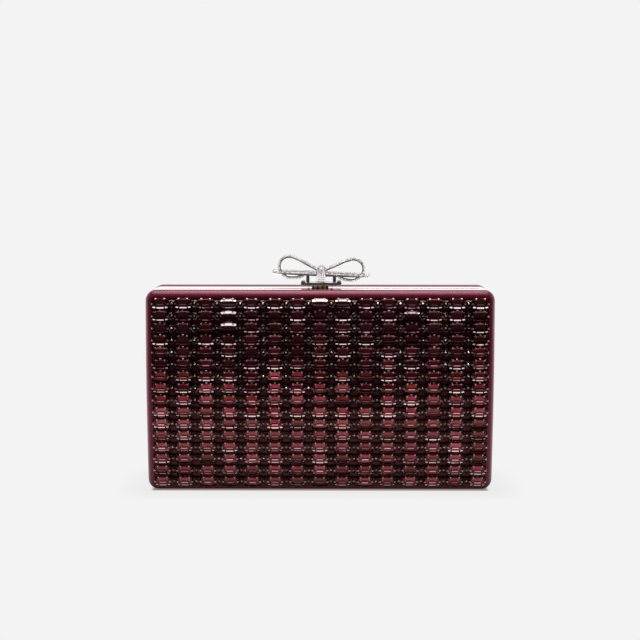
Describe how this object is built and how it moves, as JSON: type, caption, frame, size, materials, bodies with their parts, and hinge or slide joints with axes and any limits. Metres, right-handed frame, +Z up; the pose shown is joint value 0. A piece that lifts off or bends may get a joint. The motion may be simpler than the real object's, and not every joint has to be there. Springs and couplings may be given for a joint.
{
  "type": "box clutch bag",
  "caption": "Hard evening clutch: two satin-covered shells on a bottom-hinged metal frame, a rocking bow clasp on top and a front of linked step-cut crystals.",
  "frame": {"origin": "middle of the bounding box at the level of the surface that the closed clutch stands on", "axes": "+X to the right across the width, +Y from the crystal front to the back, +Z up to the clasp"},
  "size_m": [0.1858, 0.0483, 0.1255],
  "materials": {
    "satin": "burgundy satin over thin wadding",
    "board": "moulded tray, hidden",
    "lining": "napped lining",
    "silver": "mirror polish",
    "steel": "plain",
    "gunmetal": "dark plated",
    "brass": "polished",
    "crystal": "step cut, foiled, in dark cups",
    "pave": "cast and set with small clear stones"
  },
  "bodies": {
    "back_half": {"back_core": "board", "back_cover": "satin", "back_frame": "silver", "back_lining": "lining", "back_hinge_leaf": "steel", "hinge_pin": "steel", "clasp_bracket": "brass", "clasp_spring": "steel"},
    "front_half": {"front_core": "board", "front_cover": "satin", "front_frame": "silver", "front_lining": "lining", "front_hinge_leaf": "steel", "catch_leaf": "steel", "crystal_strip_01": "crystal", "crystal_strip_02": "crystal", "crystal_strip_03": "crystal", "crystal_strip_04": "crystal", "crystal_strip_05": "crystal", "crystal_strip_06": "crystal", "crystal_strip_07": "crystal", "crystal_strip_08": "crystal", "crystal_strip_09": "crystal", "crystal_strip_10": "crystal", "crystal_strip_11": "crystal", "crystal_strip_12": "crystal", "crystal_strip_13": "crystal", "crystal_strip_14": "crystal", "crystal_strip_15": "crystal"},
    "bow_clasp": {"clasp_plate": "silver", "clasp_hook": "brass", "clasp_axle": "steel", "plate_roll_left": "gunmetal", "plate_roll_right": "gunmetal", "bow_leg_left": "gunmetal", "bow_leg_right": "gunmetal", "bow_wing_left": "pave", "bow_wing_right": "pave", "bow_knot": "pave"}
  },
  "joints": [
    {"name": "case_opening", "type": "hinge", "parent": "back_half", "child": "front_half", "pos_m": [0, 0.00165, 0.00175], "axis": [1, 0, 0], "range_deg": [0, 95], "deforming": ["catch_leaf"]},
    {"name": "clasp_rock", "type": "hinge", "parent": "back_half", "child": "bow_clasp", "pos_m": [0, 0.00415, 0.1093], "axis": [-1, 0, 0], "range_deg": [0, 15], "stiffness_Nm_per_rad": 0.1, "springref_deg": -22.92, "deforming": ["clasp_spring"]}
  ]
}
